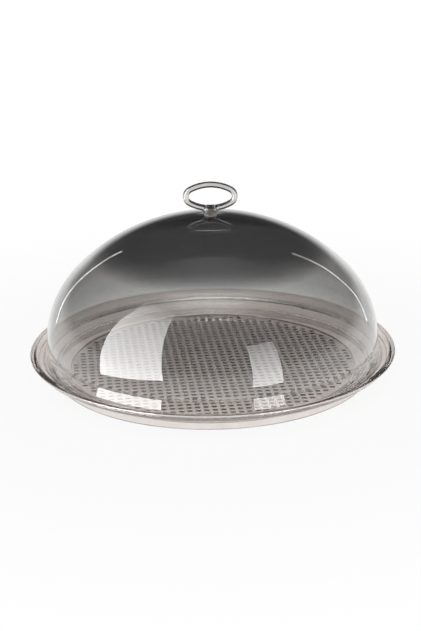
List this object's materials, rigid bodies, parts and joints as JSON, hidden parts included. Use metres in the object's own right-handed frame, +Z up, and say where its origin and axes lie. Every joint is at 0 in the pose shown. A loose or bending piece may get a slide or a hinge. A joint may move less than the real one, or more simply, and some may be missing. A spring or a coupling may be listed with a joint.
{
  "type": "buffet dome cover with tray",
  "caption": "Round clear dome cover with an oval ring handle, standing on the ledge of a shallow clear tray with a loose studded drip plate.",
  "frame": {"origin": "on the table, under the middle of the tray", "axes": "+Z up along the axis of the dome, X along the width of the ring handle"},
  "size_m": [0.38, 0.38, 0.2002],
  "materials": {
    "tray": "clear moulded SAN, polished, with a faint warm cast",
    "plate": "clear moulded polycarbonate, polished, with rows of round studs",
    "dome": "clear acrylic with a smoke tint that deepens towards the crown, polished",
    "silicone": "translucent silicone, satin",
    "handle": "clear moulded acrylic with a light smoke tint, polished",
    "insert": "nickel-plated brass, knurled",
    "steel": "stainless steel, turned"
  },
  "bodies": {
    "tray": {"tray_body": "tray"},
    "plate": {"drip_plate": "plate"},
    "dome": {"dome_shell": "dome", "neck_gasket": "silicone", "handle_grip": "handle", "thread_insert": "insert", "seal_washer": "silicone", "head_washer": "steel", "handle_screw": "steel"}
  },
  "joints": [
    {"name": "dome_lift", "type": "slide", "parent": "tray", "child": "dome", "axis": [0, 0, 1], "range_m": [0, 0.25]},
    {"name": "plate_lift", "type": "slide", "parent": "tray", "child": "plate", "axis": [0, 0, 1], "range_m": [0, 0.06]}
  ]
}
